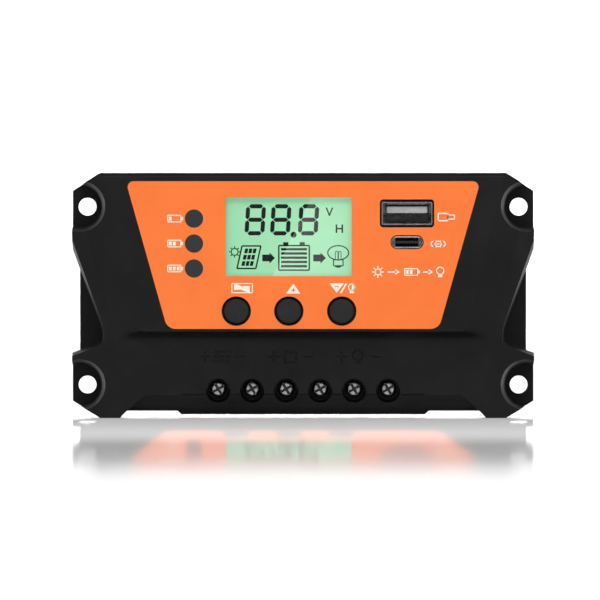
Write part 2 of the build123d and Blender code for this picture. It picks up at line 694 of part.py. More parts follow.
def usb_c_shell():
    """Round-ended metal shell whose mouth opens out in a shallow bevel."""
    lip_y = USB_MOUTH_Y + USB_C_LIP_DEPTH
    outer = round_end_sketch(USB_C_W, USB_C_H)
    throat = round_end_sketch(USB_C_THROAT_W, USB_C_THROAT_H)
    lip = round_end_sketch(USB_C_W - 2 * USB_C_LIP, USB_C_H - 2 * USB_C_LIP)
    shell = slab(outer - throat, USB_MOUTH_Y, FRONT_BOARD_Y)
    planes = [
        Plane(origin=(0, y, 0), x_dir=(1, 0, 0), z_dir=(0, -1, 0))
        for y in (lip_y, USB_MOUTH_Y)
    ]
    shell -= loft([(planes[0] * throat).face(), (planes[1] * lip).face()], ruled=True)
    return shell + slab(throat, FRONT_BOARD_Y - USB_C_BACK_T, FRONT_BOARD_Y)


def usb_c_tongue():
    y_back = FRONT_BOARD_Y - USB_C_BACK_T
    tongue = box_sketch(USB_X, USB_C_Z, USB_C_TONGUE_W, USB_C_TONGUE_T)
    base = box_sketch(USB_X, USB_C_Z, USB_C_TONGUE_W, USB_C_BASE_H)
    front = slab(tongue, USB_MOUTH_Y + USB_C_TONGUE_DEPTH, y_back)
    return front + slab(base, y_back - USB_C_BASE_T, y_back)


# ---------------------------------------------------------------- boards


def front_board():
    middle_x = (FRONT_BOARD_LOW_X + FRONT_BOARD_HIGH_X) / 2
    middle_z = (FRONT_BOARD_LOW_Z + FRONT_BOARD_TOP_Z) / 2
    width = FRONT_BOARD_HIGH_X - FRONT_BOARD_LOW_X
    height = FRONT_BOARD_TOP_Z - FRONT_BOARD_LOW_Z
    face = box_sketch(middle_x, middle_z, width, height, 1.0)
    for x, z in FRONT_POSTS:
        face -= Pos(x, z) * Circle(BOARD_SHANK_R + 0.2)
    return slab(face, FRONT_BOARD_Y, FRONT_BOARD_Y + FRONT_BOARD_T)


def main_board():
    middle_z = (MAIN_BOARD_LOW_Z + MAIN_BOARD_TOP_Z) / 2
    height = MAIN_BOARD_TOP_Z - MAIN_BOARD_LOW_Z
    face = box_sketch(0, middle_z, 2 * MAIN_BOARD_X, height, 1.0)
    for x, z in MAIN_POSTS:
        face -= Pos(x, z) * Circle(BOARD_SHANK_R + 0.2)
    return slab(face, MAIN_BOARD_Y, MAIN_BOARD_Y + MAIN_BOARD_T)


def board_screws(places, y_front, thickness):
    """Pan-head screws driven from the back through a board into its posts."""
    y_seat = y_front + thickness
    screws = []
    for x, z in places:
        head = rod(x, z, y_seat, y_seat + BOARD_HEAD_T, BOARD_HEAD_R)
        head = fillet(head.edges().sort_by(Axis.Y)[-1], 0.5)
        screw = head + rod(x, z, y_front - BOARD_SCREW_LENGTH + 1, y_seat + 0.1, BOARD_SHANK_R)
        y_top = y_seat + BOARD_HEAD_T
        screws.append(screw - cross_recess(x, z, y_top - 0.9, y_top + 1, 0.5, 2.6, 20.0))
    return group(screws)


def board_header():
    """Plastic body of the plug that joins the two boards."""
    y_front = FRONT_BOARD_Y + FRONT_BOARD_T
    face = box_sketch(HEADER_X, HEADER_Z, HEADER_COUNT * PIN_PITCH, 2 * HEADER_HALF_Z)
    rear = slab(face, MAIN_BOARD_Y - HEADER_BACK_T, MAIN_BOARD_Y)
    return rear + slab(face, y_front, y_front + HEADER_FRONT_T)


def header_pins():
    y_front = FRONT_BOARD_Y + FRONT_BOARD_T + HEADER_FRONT_T
    start = HEADER_X - (HEADER_COUNT - 1) / 2 * PIN_PITCH
    pin = Rectangle(2 * HEADER_PIN_HALF, 2 * HEADER_PIN_HALF)
    return group(
        slab(Pos(start + i * PIN_PITCH, HEADER_Z) * pin, y_front, MAIN_BOARD_Y - HEADER_BACK_T)
        for i in range(HEADER_COUNT)
    )


# ---------------------------------------------------------------- terminal block


def terminal_block():
    """Housing with a screw well, a clamp chamber and a bar slot for each terminal."""
    profile = Polyline(
        (BLOCK_FRONT_Y, BLOCK_TOP_Z),
        (BLOCK_FRONT_Y, BLOCK_BEVEL_Z),
        (BLOCK_BEVEL_Y, BLOCK_LOW_Z),
        (MAIN_BOARD_Y, BLOCK_LOW_Z),
        (MAIN_BOARD_Y, BLOCK_TOP_Z),
        close=True,
    )
    body = extrude(Plane.YZ * make_face(profile), BLOCK_X, both=True)
    chamber_x = CLAMP_X + CLAMP_GAP
    slot_x, leg_x = BAR_X + BAR_GAP, BAR_LEG_X + BAR_GAP
    for x in TERMINAL_XS:
        body -= rod(x, SCREW_Z, BLOCK_FRONT_Y - 1, SHELF_Y, WELL_R)
        body -= rod(x, SCREW_Z, SHELF_Y - 1, SHELF_BACK_Y + 1, SHELF_HOLE_R)
        body -= block(
            x - chamber_x, x + chamber_x, SHELF_BACK_Y, CHAMBER_BACK_Y, BLOCK_LOW_Z - 1,
            CHAMBER_TOP_Z,
        )
        body -= block(
            x - slot_x, x + slot_x, BAR_Y - BAR_GAP, BAR_Y + BAR_T + BAR_GAP, CHAMBER_TOP_Z - 1,
            BAR_TOP_Z + BAR_GAP,
        )
        body -= block(
            x - leg_x, x + leg_x, BAR_Y, MAIN_BOARD_Y + 1, BAR_TOP_Z - BAR_T - BAR_GAP,
            BAR_TOP_Z + BAR_GAP,
        )
    return body


def terminal_screw(x):
    """Captive clamp screw with a rounded cross-slotted head."""
    y_head = SHELF_Y - SCREW_HEAD_T
    head = rod(x, SCREW_Z, y_head, SHELF_Y, SCREW_HEAD_R)
    head = fillet(head.edges().sort_by(Axis.Y)[0], 0.8)
    screw = head + rod(x, SCREW_Z, SHELF_Y - 0.1, SCREW_TIP_Y, SCREW_R)
    screw -= cross_recess(x, SCREW_Z, y_head - 1, y_head + 1.2, 0.7, 3.5, SCREW_TURN)
    tip = screw.edges().filter_by(GeomType.CIRCLE).sort_by(Axis.Y)[-1]
    return chamfer(tip, 0.3)


def wire_clamp(x):
    """Rectangular cage that the screw draws up under the fixed bar."""
    z_low, z_high = SCREW_Z - CLAMP_HALF_Z, SCREW_Z + CLAMP_HALF_Z
    y_back = CLAMP_FLOOR_Y + CLAMP_FLOOR_T
    cage = block(x - CLAMP_X, x + CLAMP_X, CLAMP_TOP_Y, y_back, z_low, z_high)
    inner_x = CLAMP_X - CLAMP_WALL
    cage -= block(
        x - inner_x, x + inner_x, CLAMP_TOP_Y + CLAMP_TOP_T, CLAMP_FLOOR_Y, z_low - 1, z_high + 1
    )
    return cage - rod(x, SCREW_Z, CLAMP_TOP_Y - 1, CLAMP_TOP_Y + CLAMP_TOP_T + 1, SCREW_R + FIT_GAP)


def terminal_bars():
    """Fixed conductor of each terminal, bent back to the main board."""
    bars = []
    for x in TERMINAL_XS:
        plate = block(
            x - BAR_X, x + BAR_X, BAR_Y, BAR_Y + BAR_T, SCREW_Z - CLAMP_HALF_Z + 0.2, BAR_TOP_Z
        )
        leg = block(
            x - BAR_LEG_X, x + BAR_LEG_X, BAR_Y, MAIN_BOARD_Y, BAR_TOP_Z - BAR_T, BAR_TOP_Z
        )
        bars.append(plate + leg)
    return group(bars)


# ---------------------------------------------------------------- electronics


def on_board(x, z, width, height, thickness):
    """Block soldered to the front of the main board."""
    return slab(box_sketch(x, z, width, height), MAIN_BOARD_Y - thickness, MAIN_BOARD_Y)


def storage_capacitors():
    """Upright round capacitors on both sides of the terminal block."""
    cans = []
    for x in (-CAN_X, CAN_X):
        can = rod(x, CAN_Z, MAIN_BOARD_Y - CAN_LENGTH, MAIN_BOARD_Y, CAN_R)
        cans.append(fillet(can.edges().filter_by(GeomType.CIRCLE), 0.5))
    return group(cans)


def choke_core():
    """Ring core of the filter choke, lying on its base."""
    y = MAIN_BOARD_Y - CHOKE_BASE_T - CHOKE_R
    plane = Plane(origin=(CHOKE_X, y, CHOKE_Z), x_dir=(1, 0, 0), z_dir=(0, -1, 0))
    return plane * Torus(CHOKE_RING_R, CHOKE_R)


def choke_base():
    ring = Circle(CHOKE_RING_R + 1.8) - Circle(CHOKE_RING_R - CHOKE_R)
    return slab(Pos(CHOKE_X, CHOKE_Z) * ring, MAIN_BOARD_Y - CHOKE_BASE_T, MAIN_BOARD_Y)


def blade_fuse():
    body = on_board(0, FUSE_Z, FUSE_W, FUSE_H, FUSE_T)
    return chamfer(body.edges().filter_by(Axis.Y), 0.6)


def buzzer():
    """Round sounder with a small hole in its front."""
    y_front = MAIN_BOARD_Y - BUZZER_T
    can = rod(BUZZER_X, BUZZER_Z, y_front, MAIN_BOARD_Y, BUZZER_R)
    return can - rod(BUZZER_X, BUZZER_Z, y_front - 1, y_front + 2, BUZZER_HOLE_R)


def controller_chip():
    """Square chip with a dimple at its first corner."""
    y_front = MAIN_BOARD_Y - CHIP_T
    inset = CHIP_SIDE / 2 - 1.4
    chip = on_board(CHIP_X, CHIP_Z, CHIP_SIDE, CHIP_SIDE, CHIP_T)
    return chip - rod(CHIP_X - inset, CHIP_Z + inset, y_front - 1, y_front + 0.1, 0.5)


def chip_legs():
    """Short legs along the four sides of the controller chip."""
    reach = CHIP_SIDE / 2 + CHIP_LEG_L / 2
    legs = []
    for side in (-1, 1):
        for i in range(CHIP_LEG_COUNT):
            offset = (i - (CHIP_LEG_COUNT - 1) / 2) * CHIP_LEG_PITCH
            legs.append(
                on_board(CHIP_X + side * reach, CHIP_Z + offset, CHIP_LEG_L, CHIP_LEG_W, CHIP_LEG_T)
            )
            legs.append(
                on_board(CHIP_X + offset, CHIP_Z + side * reach, CHIP_LEG_W, CHIP_LEG_L, CHIP_LEG_T)
            )
    return group(legs)


def current_shunts():
    """Low-value resistor links in the load path."""
    return group(
        on_board(x, FUSE_Z, SHUNT_W, SHUNT_H, SHUNT_T) for x in (-SHUNT_X, SHUNT_X)
    )


def power_transistors():
    """Flat power devices on the back of the main board, each with two legs."""
    y = MAIN_BOARD_Y + MAIN_BOARD_T
    leg_z = POWER_Z - POWER_H / 2 - POWER_LEG_L / 2
    devices = []
    for i in range(POWER_COUNT):
        x = (i - (POWER_COUNT - 1) / 2) * POWER_PITCH
        body = slab(box_sketch(x, POWER_Z, POWER_W, POWER_H), y, y + POWER_T)
        for side in (-1, 1):
            leg = box_sketch(x + side * POWER_LEG_X, leg_z, POWER_LEG_W, POWER_LEG_L)
            body += slab(leg, y, y + POWER_LEG_T)
        devices.append(body)
    return group(devices)


def thermal_pad():
    """Soft strip that carries heat from the power devices to the back plate."""
    y = MAIN_BOARD_Y + MAIN_BOARD_T + POWER_T
    return slab(box_sketch(0, POWER_Z, PAD_W, PAD_H), y, PLATE_Y)


def converter_chip():
    """Charging-socket supply chip on the back of the front board."""
    y = FRONT_BOARD_Y + FRONT_BOARD_T
    face = box_sketch(USB_X, CONVERTER_Z, CONVERTER_W, CONVERTER_H)
    return slab(face, y, y + CONVERTER_T)


def converter_coil():
    """Squat shielded coil with a shallow round recess."""
    y = FRONT_BOARD_Y + FRONT_BOARD_T
    coil = slab(box_sketch(USB_X, COIL_Z, COIL_SIDE, COIL_SIDE, 1.2), y, y + COIL_T)
    return coil - rod(USB_X, COIL_Z, y + COIL_T - 0.6, y + COIL_T + 1, COIL_RECESS_R)


def build():
    """Every node of the assembly by name."""
    nodes = {
        "front_cover": front_cover(),
        "back_plate": back_plate(),
        "case_screws": case_screws(),
        "face_label": face_label(),
        "display_window": display_window(),
        "lcd_glass": lcd_glass(),
        "lcd_backlight": lcd_backlight(),
        "lcd_frame": lcd_frame(),
        "lcd_pins": lcd_pins(),
        "indicator_leds": indicator_leds(),
        "usb_a_shell": usb_a_shell(),
        "usb_a_tongue": usb_a_tongue(),
        "usb_a_contacts": usb_a_contacts(),
        "usb_c_shell": usb_c_shell(),
        "usb_c_tongue": usb_c_tongue(),
        "front_board": front_board(),
        "front_board_screws": board_screws(FRONT_POSTS, FRONT_BOARD_Y, FRONT_BOARD_T),
        "main_board": main_board(),
        "main_board_screws": board_screws(MAIN_POSTS, MAIN_BOARD_Y, MAIN_BOARD_T),
        "board_header": board_header(),
        "header_pins": header_pins(),
        "terminal_block": terminal_block(),
        "terminal_bars": terminal_bars(),
        "storage_capacitors": storage_capacitors(),
        "choke_core": choke_core(),
        "choke_base": choke_base(),
        "blade_fuse": blade_fuse(),
        "buzzer": buzzer(),
        "controller_chip": controller_chip(),
        "chip_legs": chip_legs(),
        "current_shunts": current_shunts(),
        "power_transistors": power_transistors(),
        "thermal_pad": thermal_pad(),
        "converter_chip": converter_chip(),
        "converter_coil": converter_coil(),
    }
    for name, x in zip(("menu", "up", "down"), BUTTON_XS):
        nodes[f"button_{name}"] = button_cap(x)
        nodes[f"plunger_{name}"] = switch_plunger(x)
        nodes[f"switch_{name}"] = switch_base(x)
    for number, z in enumerate(LENS_ZS, start=1):
        nodes[f"indicator_lens_{number}"] = indicator_lens(z)
    for number, x in enumerate(TERMINAL_XS, start=1):
        nodes[f"terminal_screw_{number}"] = terminal_screw(x)
        nodes[f"wire_clamp_{number}"] = wire_clamp(x)
    return nodes


os.makedirs("parts", exist_ok=True)
for node, shape in build().items():
    export_step(shape, f"parts/{node}.step")
    print(node, round(shape.volume, 1))
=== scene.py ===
"""Looks, light and camera for the wall-mounted solar charge controller.

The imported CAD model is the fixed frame. This script gives every part a procedural material and adds
the printed marks, the display's segments and the studio.
"""

import json
import math

import bpy
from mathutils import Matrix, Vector


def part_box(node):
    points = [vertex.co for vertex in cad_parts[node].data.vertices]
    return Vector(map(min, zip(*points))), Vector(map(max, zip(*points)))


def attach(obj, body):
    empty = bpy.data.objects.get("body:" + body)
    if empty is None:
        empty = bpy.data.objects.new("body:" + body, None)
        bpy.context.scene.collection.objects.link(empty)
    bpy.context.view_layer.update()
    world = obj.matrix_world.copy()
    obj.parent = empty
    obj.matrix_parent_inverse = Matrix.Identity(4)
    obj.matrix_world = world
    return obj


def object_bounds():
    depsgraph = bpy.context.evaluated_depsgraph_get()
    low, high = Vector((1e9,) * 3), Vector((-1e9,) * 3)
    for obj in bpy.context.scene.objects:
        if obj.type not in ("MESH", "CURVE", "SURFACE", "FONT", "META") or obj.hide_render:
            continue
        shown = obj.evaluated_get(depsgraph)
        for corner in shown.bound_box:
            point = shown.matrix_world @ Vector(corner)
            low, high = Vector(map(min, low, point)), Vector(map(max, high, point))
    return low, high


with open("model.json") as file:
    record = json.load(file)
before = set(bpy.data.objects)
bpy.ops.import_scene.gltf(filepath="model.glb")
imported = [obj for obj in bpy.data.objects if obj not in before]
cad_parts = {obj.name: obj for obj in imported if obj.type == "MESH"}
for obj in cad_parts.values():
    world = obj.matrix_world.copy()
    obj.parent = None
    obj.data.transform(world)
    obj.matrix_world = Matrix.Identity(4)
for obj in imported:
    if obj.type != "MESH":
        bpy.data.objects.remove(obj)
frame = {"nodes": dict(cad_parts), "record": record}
cad_low, cad_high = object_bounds()

MM = 0.001

# Camera: a long lens, square on to the front
VIEW_DISTANCE = 7.0
VIEW_WIDTH = 0.1732
VIEW_X = -0.0009
VIEW_Z = 0.0341

WORLD_STRENGTH = 0.3
FLOOR_GLOSS = 0.55
WALL_Y = 9.0  # far enough back that a camera behind the object still sees it

# Depths of the thin printed layers
INK_T = 0.02
LCD_INK_T = 0.03

ORANGE = (0.97, 0.2, 0.034, 1)
CREAM = (0.95, 0.88, 0.74, 1)
BLACK = (0.0055, 0.0055, 0.0058, 1)


# ---------------------------------------------------------------- node helpers


class Nodes:
    """A material's node tree with short calls for the nodes used here."""

    def __init__(self, name):
        self.material = bpy.data.materials.new(name)
        self.material.use_nodes = True
        self.tree = self.material.node_tree
        self.shader = self.tree.nodes["Principled BSDF"]
        self.output = self.tree.nodes["Material Output"]

    def add(self, kind, **settings):
        node = self.tree.nodes.new(kind)
        for key, value in settings.items():
            setattr(node, key, value)
        return node

    def link(self, source, target):
        self.tree.links.new(source, target)

    def place(self):
        return self.add("ShaderNodeTexCoord").outputs["Object"]

    def noise(self, scale, detail=3.0, roughness=0.55, stretch=None):
        node = self.add("ShaderNodeTexNoise")
        node.inputs["Scale"].default_value = scale
        node.inputs["Detail"].default_value = detail
        node.inputs["Roughness"].default_value = roughness
        place = self.place()
        if stretch:
            mapping = self.add("ShaderNodeMapping")
            mapping.inputs["Scale"].default_value = stretch
            self.link(place, mapping.inputs["Vector"])
            place = mapping.outputs["Vector"]
        self.link(place, node.inputs["Vector"])
        return node.outputs["Fac"]

    def span(self, source, low, high, from_low=0.35, from_high=0.65):
        """Stretch a value from one range to another."""
        node = self.add("ShaderNodeMapRange")
        node.inputs["From Min"].default_value = from_low
        node.inputs["From Max"].default_value = from_high
        node.inputs["To Min"].default_value = low
        node.inputs["To Max"].default_value = high
        self.link(source, node.inputs["Value"])
        return node.outputs["Result"]

    def blend(self, factor, first, second):
        """Mix of two colours, given as values or sockets."""
        node = self.add("ShaderNodeMix", data_type="RGBA")
        for socket, value in ((6, first), (7, second)):
            if hasattr(value, "is_linked"):
                self.link(value, node.inputs[socket])
            else:
                node.inputs[socket].default_value = value
        if hasattr(factor, "is_linked"):
            self.link(factor, node.inputs[0])
        else:
            node.inputs[0].default_value = factor
        return node.outputs[2]

    def multiply(self, first, second):
        node = self.add("ShaderNodeMath", operation="MULTIPLY")
        self.link(first, node.inputs[0])
        if hasattr(second, "is_linked"):
            self.link(second, node.inputs[1])
        else:
            node.inputs[1].default_value = second
        return node.outputs[0]

    def edge_wear(self, radius):
        """Bright along outer edges: how far a rounded normal leaves the true one."""
        bevel = self.add("ShaderNodeBevel", samples=4)
        bevel.inputs["Radius"].default_value = radius
        true = self.add("ShaderNodeNewGeometry").outputs["Normal"]
        dot = self.add("ShaderNodeVectorMath", operation="DOT_PRODUCT")
        self.link(bevel.outputs["Normal"], dot.inputs[0])
        self.link(true, dot.inputs[1])
        return self.span(dot.outputs["Value"], 1.0, 0.0, 0.75, 0.98)

    def bump(self, height, distance, strength=1.0, soft_edge=0.0):
        node = self.add("ShaderNodeBump")
        node.inputs["Distance"].default_value = distance
        node.inputs["Strength"].default_value = strength
        self.link(height, node.inputs["Height"])
        if soft_edge:
            bevel = self.add("ShaderNodeBevel", samples=6)
            bevel.inputs["Radius"].default_value = soft_edge
            self.link(bevel.outputs["Normal"], node.inputs["Normal"])
        self.link(node.outputs["Normal"], self.shader.inputs["Normal"])

    def set(self, **values):
        for key, value in values.items():
            socket = self.shader.inputs[key.replace("_", " ")]
            if hasattr(value, "is_linked"):
                self.link(value, socket)
            else:
                socket.default_value = value


# ---------------------------------------------------------------- materials


def moulded(name, colour, rough=0.45, grain=0.00002, grain_scale=2600, specular=0.3, edge=0.0003):
    """Moulded plastic: fine spark-eroded grain, faint flow marks and paler worn edges."""
    n = Nodes(name)
    mottle = n.span(n.noise(60, 4), 0.0, 1.0)
    pale = tuple(min(1.0, c * 1.25 + 0.002) for c in colour[:3]) + (1,)
    base = n.blend(mottle, colour, pale)
    worn = tuple(min(1.0, c * 1.6 + 0.03) for c in colour[:3]) + (1,)
    wear = n.multiply(n.edge_wear(edge), n.span(n.noise(400, 4), 0.0, 0.5))
    n.set(Base_Color=n.blend(wear, base, worn), Specular_IOR_Level=specular)
    n.set(Roughness=n.span(n.noise(180, 5), rough - 0.05, rough + 0.07))
    n.bump(n.noise(grain_scale, 2, 0.6), grain, 1.0, edge)
    return n.material


def casing_plastic():
    return moulded("casing_black", BLACK, rough=0.36, grain=0.000012, specular=0.17, edge=0.0002)


def label_film():
    """Orange printed film with a satin varnish over a faint print grain."""
    n = Nodes("label_print")
    deep = (ORANGE[0] * 0.96, ORANGE[1] * 0.92, ORANGE[2] * 0.9, 1)
    n.set(Base_Color=n.blend(n.span(n.noise(90, 5), 0, 1), ORANGE, deep))
    n.set(Roughness=n.span(n.noise(700, 3), 0.38, 0.5), Specular_IOR_Level=0.3)
    n.bump(n.noise(5200, 2, 0.6), 0.000004, 0.7)
    return n.material


def ink(name, colour, specular=0.25):
    """Screen-printed ink, slightly uneven."""
    n = Nodes(name)
    thin = tuple(c * 0.93 for c in colour[:3]) + (1,)
    n.set(Base_Color=n.blend(n.span(n.noise(900, 4), 0, 1), colour, thin))
    n.set(Roughness=n.span(n.noise(1500, 3), 0.45, 0.6), Specular_IOR_Level=specular)
    n.bump(n.noise(6000, 2, 0.5), 0.000003, 0.6)
    return n.material


def window_pane():
    """Clear moulded pane: passes what is behind it and keeps a soft gloss."""
    n = Nodes("window_clear")
    clear = n.add("ShaderNodeBsdfTransparent")
    clear.inputs["Color"].default_value = (0.985, 0.995, 0.985, 1)
    gloss = n.add("ShaderNodeBsdfGlossy")
    gloss.inputs["Roughness"].default_value = 0.0
    gloss.inputs["Color"].default_value = (1, 1, 1, 1)
    fresnel = n.add("ShaderNodeFresnel")
    fresnel.inputs["IOR"].default_value = 1.3
    mix = n.add("ShaderNodeMixShader")
    n.link(fresnel.outputs[0], mix.inputs[0])
    n.link(clear.outputs[0], mix.inputs[1])
    n.link(gloss.outputs[0], mix.inputs[2])
    n.link(mix.outputs[0], n.output.inputs["Surface"])
    n.tree.nodes.remove(n.shader)
    return n.material


def lcd_green():
    """Reflective display glass with a faint backlight glow, coloured lighter towards +X as painted light for
    the glare on the pane.
    """
    n = Nodes("lcd_glass")
    split = n.add("ShaderNodeSeparateXYZ")
    n.link(n.place(), split.inputs[0])
    # Painted light: the glass colour ramps lighter towards +X, standing in for glare on the pane.
    painted_glare_ramp = n.span(split.outputs["X"], 0.0, 1.0, -0.024, 0.016)
    base = n.blend(painted_glare_ramp, (0.3, 0.62, 0.39, 1), (0.39, 0.69, 0.46, 1))
    n.set(Base_Color=base, Specular_IOR_Level=0.2)
    n.set(Roughness=n.span(n.noise(800, 3), 0.3, 0.4))
    n.set(Emission_Color=(0.31, 0.66, 0.41, 1), Emission_Strength=0.45)
    n.bump(n.noise(5000, 2, 0.5), 0.000002, 0.5)
    return n.material


def milky(name, colour):
    n = Nodes(name)
    n.set(Base_Color=n.blend(n.span(n.noise(200, 3), 0, 1), colour, tuple(0.9 * c for c in colour)))
    n.set(Roughness=n.span(n.noise(900, 3), 0.35, 0.5), Subsurface_Weight=0.2)
    n.bump(n.noise(3000, 2), 0.00001, 0.6, 0.0002)
    return n.material


def metal(name, colour, rough, brushed=None, edge=0.00015):
    """Metal with a directional or even grain and small differences in shine."""
    n = Nodes(name)
    grain = n.noise(1400, 5, 0.6, brushed)
    dull = tuple(c * 0.82 for c in colour[:3]) + (1,)
    n.set(Base_Color=n.blend(n.span(grain, 0, 1), colour, dull), Metallic=1.0)
    n.set(Roughness=n.span(n.noise(500, 4, 0.6, brushed), rough - 0.07, rough + 0.1))
    n.bump(grain, 0.000004, 0.8, edge)
    return n.material


def screw_steel():
    """Plated screw steel, coloured near black below the head's face as painted shade in the driver cross and
    on the head's sides.
    """
    n = Nodes("screw_steel")
    grain = n.noise(1400, 5)
    face_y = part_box("terminal_screw_1")[0].y
    split = n.add("ShaderNodeSeparateXYZ")
    n.link(n.place(), split.inputs[0])
    # Painted shade: the colour turns near black from 0.1 to 0.5 mm behind the head's face.
    depth = n.span(split.outputs["Y"], 0.0, 1.0, face_y + 0.0001, face_y + 0.0005)
    bright = n.blend(n.span(grain, 0, 1), (0.72, 0.72, 0.73, 1), (0.6, 0.6, 0.61, 1))
    n.set(Base_Color=n.blend(depth, bright, (0.06, 0.06, 0.062, 1)), Metallic=1.0)
    n.set(Roughness=n.span(n.noise(500, 4), 0.2, 0.36))
    n.bump(grain, 0.000004, 0.8, 0.00015)
    return n.material


def smoked_acrylic():
    """Dark lens with a satin front and faint moulding haze."""
    n = Nodes("smoked_lens")
    haze = n.span(n.noise(2500, 3), 0, 1)
    n.set(Base_Color=n.blend(haze, (0.02, 0.024, 0.026, 1), (0.024, 0.028, 0.03, 1)))
    n.set(Roughness=n.span(n.noise(2500, 3), 0.34, 0.4), Specular_IOR_Level=0.3)
    n.bump(n.noise(5200, 2), 0.000001, 0.5, 0.0002)
    return n.material


def circuit_board():
    """Solder mask over fibre weave, with raised copper tracks."""
    n = Nodes("board_green")
    brick = n.add("ShaderNodeTexBrick", offset=0.5, squash=1.0)
    brick.inputs["Scale"].default_value = 160
    brick.inputs["Mortar Size"].default_value = 0.06
    swap = n.add("ShaderNodeMapping")
    swap.inputs["Rotation"].default_value = (math.radians(90), 0, 0)
    n.link(n.place(), swap.inputs["Vector"])
    n.link(swap.outputs["Vector"], brick.inputs["Vector"])
    track = brick.outputs["Fac"]
    mask = n.blend(track, (0.008, 0.1, 0.035, 1), (0.02, 0.2, 0.07, 1))
    n.set(Base_Color=n.blend(n.span(n.noise(500, 4), 0, 0.4), mask, (0.01, 0.14, 0.05, 1)))
    n.set(Roughness=n.span(n.noise(900, 3), 0.25, 0.4), Coat_Weight=0.4, Coat_Roughness=0.15)
    n.bump(track, 0.00003, 0.8, 0.0002)
    return n.material


def soft_rubber(name, colour):
    """Matt elastomer with a soft sheen and tiny pores."""
    n = Nodes(name)
    grey = tuple(c * 1.3 + 0.002 for c in colour[:3]) + (1,)
    n.set(Base_Color=n.blend(n.span(n.noise(300, 5), 0, 1), colour, grey))
    n.set(Roughness=n.span(n.noise(1200, 4), 0.55, 0.7), Specular_IOR_Level=0.3)
    n.set(Sheen_Weight=0.08, Sheen_Roughness=0.5)
    n.bump(n.noise(4200, 3, 0.6), 0.000008, 0.8, 0.00035)
    return n.material


def ferrite():
    n = Nodes("ferrite")
    n.set(Base_Color=n.blend(n.span(n.noise(900, 5), 0, 1), (0.03, 0.03, 0.032, 1), (0.07, 0.07, 0.07, 1)))
    n.set(Roughness=n.span(n.noise(600, 4), 0.55, 0.75))
    n.bump(n.noise(2600, 4, 0.7), 0.00003, 0.8, 0.0002)
    return n.material


def record_materials():
    """One material for each of the record's slots."""
    return {
        "casing_black": casing_plastic(),
        "plate_metal": metal("plate_metal", (0.52, 0.53, 0.55, 1), 0.38, (1.0, 1.0, 0.03), 0.0003),
        "screw_steel": screw_steel(),
        "label_print": label_film(),
        "window_clear": window_pane(),
        "lcd_glass": lcd_green(),
        "lcd_backlight": milky("lcd_backlight", (0.5, 0.85, 0.6, 1)),
        "white_plastic": milky("white_plastic", (0.75, 0.75, 0.72, 1)),
        "pin_metal": metal("pin_metal", (0.85, 0.66, 0.32, 1), 0.25),
        "led_body": milky("led_body", (0.9, 0.82, 0.45, 1)),
        "socket_steel": metal("socket_steel", (0.62, 0.62, 0.64, 1), 0.24, None, 0.0001),
        "socket_black": moulded("socket_black", (0.014, 0.014, 0.014, 1), 0.4),
        "dark_nickel": metal("dark_nickel", (0.3, 0.3, 0.31, 1), 0.26, None, 0.0001),
        "grey_plastic": moulded("grey_plastic", (0.42, 0.42, 0.43, 1), 0.42),
        # Painted shade: the USB-A contacts are near black, standing in for the shade inside the socket.
        "black_contacts": moulded("black_contacts", (0.008, 0.008, 0.008, 1), 0.35),
        "board_green": circuit_board(),
        "terminal_plastic": moulded("terminal_plastic", (0.006, 0.006, 0.006, 1), 0.5),
        "copper": metal("copper", (0.78, 0.5, 0.34, 1), 0.3, (1.0, 0.1, 1.0)),
        "clamp_metal": metal("clamp_metal", (0.62, 0.61, 0.58, 1), 0.34),
        "can_sleeve": moulded("can_sleeve", (0.012, 0.016, 0.05, 1), 0.3, specular=0.5),
        "ferrite": ferrite(),
        "fuse_plastic": moulded("fuse_plastic", (0.02, 0.13, 0.5, 1), 0.25, specular=0.5),
        "chip_plastic": moulded("chip_plastic", (0.016, 0.016, 0.016, 1), 0.55),
        "pad_grey": soft_rubber("pad_grey", (0.4, 0.42, 0.44, 1)),
        "button_rubber": soft_rubber("button_rubber", (0.007, 0.007, 0.0075, 1)),
        "plunger_plastic": moulded("plunger_plastic", (0.03, 0.03, 0.03, 1), 0.4),
        "switch_metal": metal("switch_metal", (0.6, 0.6, 0.6, 1), 0.3),
        "smoked_lens": smoked_acrylic(),
    }


def dress_cad_nodes(materials):
    """Give each CAD node the material of its slot."""
    for part in frame["record"]["subparts"]:
        data = frame["nodes"][part["node"]].data
        data.materials.clear()
        data.materials.append(materials[part["material_slot"]])


# ---------------------------------------------------------------- printed shapes


def ring_points(x, z, rx, rz=None, count=40, start=0.0, sweep=360.0):
    """Points round an ellipse or along part of it."""
    rz = rx if rz is None else rz
    steps = count if sweep == 360.0 else count + 1
    angles = (math.radians(start + sweep * i / count) for i in range(steps))
    return [(x + rx * math.cos(a), z + rz * math.sin(a)) for a in angles]


def bar_points(start, end, width):
    """Rectangle of a given width along a line."""
    (x0, z0), (x1, z1) = start, end
    length = math.hypot(x1 - x0, z1 - z0)
    dx, dz = (x1 - x0) / length * width / 2, (z1 - z0) / length * width / 2
    return [(x0 - dz, z0 + dx), (x0 + dz, z0 - dx), (x1 + dz, z1 - dx), (x1 - dz, z1 + dx)]


def rectangle(x, z, width, height):
    w, h = width / 2, height / 2
    return [(x - w, z - h), (x + w, z - h), (x + w, z + h), (x - w, z + h)]


def frame_bars(points, width):
    """Closed outline made of bars between successive points."""
    pairs = zip(points, points[1:] + points[:1])
    return [bar_points(a, b, width) for a, b in pairs]


def thick_curve(points, width):
    """Open curve made of bars between successive points."""
    return [bar_points(a, b, width) for a, b in zip(points, points[1:])]


def annulus(x, z, rx, rz, width, count=40):
    """Ring of quads."""
    outer = ring_points(x, z, rx + width / 2, rz + width / 2, count)
    inner = ring_points(x, z, rx - width / 2, rz - width / 2, count)
    faces = []
    for i in range(count):
        j = (i + 1) % count
        faces.append([outer[i], outer[j], inner[j], inner[i]])
    return faces


